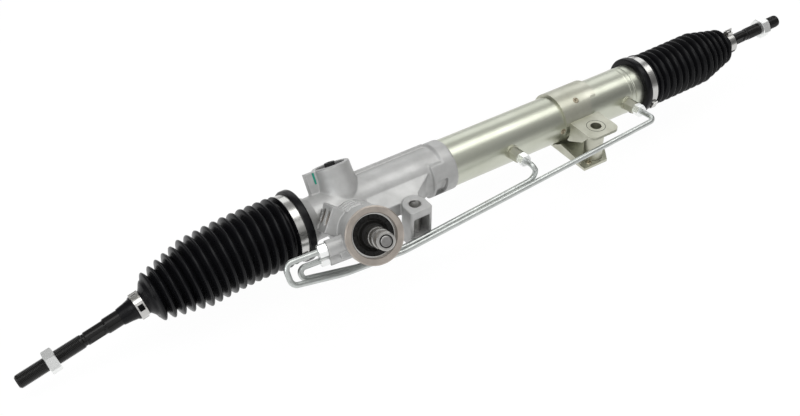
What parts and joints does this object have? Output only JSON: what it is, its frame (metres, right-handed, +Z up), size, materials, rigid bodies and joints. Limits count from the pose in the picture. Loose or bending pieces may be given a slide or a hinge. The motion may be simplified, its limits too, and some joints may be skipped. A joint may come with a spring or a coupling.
{
  "type": "hydraulic power steering rack",
  "caption": "Hydraulic power steering rack: cast gear housing with input shaft, steel cylinder, two fluid pipes, rubber boots and threaded tie rods.",
  "frame": {"origin": "axis of the housing ear's bolt hole, at the height of the rack axis", "axes": "X along the rack toward the cylinder end, Z up along the mounting bolts"},
  "size_m": [1.005, 0.1853, 0.1321],
  "materials": {
    "cast_aluminium": "cast",
    "zinc_yellow": "satin",
    "zinc_silver": "satin",
    "clamp_steel": "polished",
    "black_rod": "satin",
    "black_rubber": "satin",
    "machined_steel": "satin",
    "black_plug": "matte",
    "aluminium_part": "satin",
    "plastic": "matte"
  },
  "bodies": {
    "housing": {"gear_housing": "cast_aluminium", "cylinder_tube": "zinc_yellow", "near_port_boss": "zinc_yellow", "far_port_boss": "zinc_yellow", "bracket_saddle": "zinc_yellow", "bracket_upper_plate": "zinc_yellow", "bracket_lower_plate": "zinc_yellow", "bracket_sleeve": "zinc_silver", "long_pipe": "zinc_silver", "short_pipe": "zinc_silver", "tube_nuts": "zinc_silver", "left_big_clamp": "clamp_steel", "right_big_clamp": "clamp_steel", "snap_ring": "clamp_steel", "gland_ring": "clamp_steel", "left_boot": "black_rubber", "right_boot": "black_rubber", "dust_seal": "black_rubber", "shaft_seal": "black_rubber", "bulkhead_seal": "black_rubber", "gland_seal": "black_rubber", "lower_bearing": "machined_steel", "upper_bearing": "machined_steel", "input_bearing": "machined_steel", "yoke_spring": "machined_steel", "yoke_plug": "black_plug", "bottom_cap": "black_plug", "rack_yoke": "aluminium_part", "inner_bulkhead": "aluminium_part", "outer_gland": "aluminium_part", "yoke_liner": "plastic", "rack_bushing": "plastic"},
    "rack": {"rack_bar": "machined_steel", "piston": "machined_steel", "piston_ring": "plastic", "left_socket": "black_rod", "right_socket": "black_rod", "left_lock_washer": "black_rod", "right_lock_washer": "black_rod"},
    "pinion": {"pinion": "machined_steel", "pinion_nut": "machined_steel", "valve_sleeve": "machined_steel", "sleeve_rings": "plastic"},
    "input_shaft": {"input_shaft": "machined_steel", "torsion_bar": "machined_steel"},
    "left_seat": {"left_ball_seat": "plastic"},
    "right_seat": {"right_ball_seat": "plastic"},
    "left_rod": {"left_tie_rod": "black_rod", "left_jam_nut": "zinc_silver", "left_small_clamp": "clamp_steel"},
    "right_rod": {"right_tie_rod": "black_rod", "right_jam_nut": "zinc_silver", "right_small_clamp": "clamp_steel"}
  },
  "joints": [
    {"name": "rack_slide", "type": "slide", "parent": "housing", "child": "rack", "axis": [1, 0, 0], "range_m": [-0.04, 0.095], "deforming": ["left_boot", "right_boot"]},
    {"name": "pinion_spin", "type": "hinge", "parent": "housing", "child": "pinion", "pos_m": [-0.0562, 0.03707, -0.01695], "axis": [-0.2419, -0.8044, 0.5426], "range_deg": [-632, 268]},
    {"name": "valve_twist", "type": "hinge", "parent": "pinion", "child": "input_shaft", "pos_m": [-0.07072, -0.0112, 0.0156], "axis": [-0.2419, -0.8044, 0.5426], "range_deg": [-4.5, 4.5], "stiffness_Nm_per_rad": 70},
    {"name": "left_tilt", "type": "hinge", "parent": "rack", "child": "left_seat", "pos_m": [-0.2192, 0.0485, 0], "axis": [0, 1, 0], "range_deg": [-4, 31]},
    {"name": "left_swing", "type": "hinge", "parent": "left_seat", "child": "left_rod", "pos_m": [-0.2192, 0.0485, 0], "axis": [-0.2368, 0, 0.9715], "range_deg": [-8, 8]},
    {"name": "right_tilt", "type": "hinge", "parent": "rack", "child": "right_seat", "pos_m": [0.3958, 0.0485, 0], "axis": [0, 1, 0], "range_deg": [-15, 20]},
    {"name": "right_swing", "type": "hinge", "parent": "right_seat", "child": "right_rod", "pos_m": [0.3958, 0.0485, 0], "axis": [-0.0419, 0, 0.9991], "range_deg": [-8, 8]}
  ],
  "couplings": [
    {"joint": "pinion_spin", "follows": "rack_slide", "rad_per_m": -115.51}
  ]
}
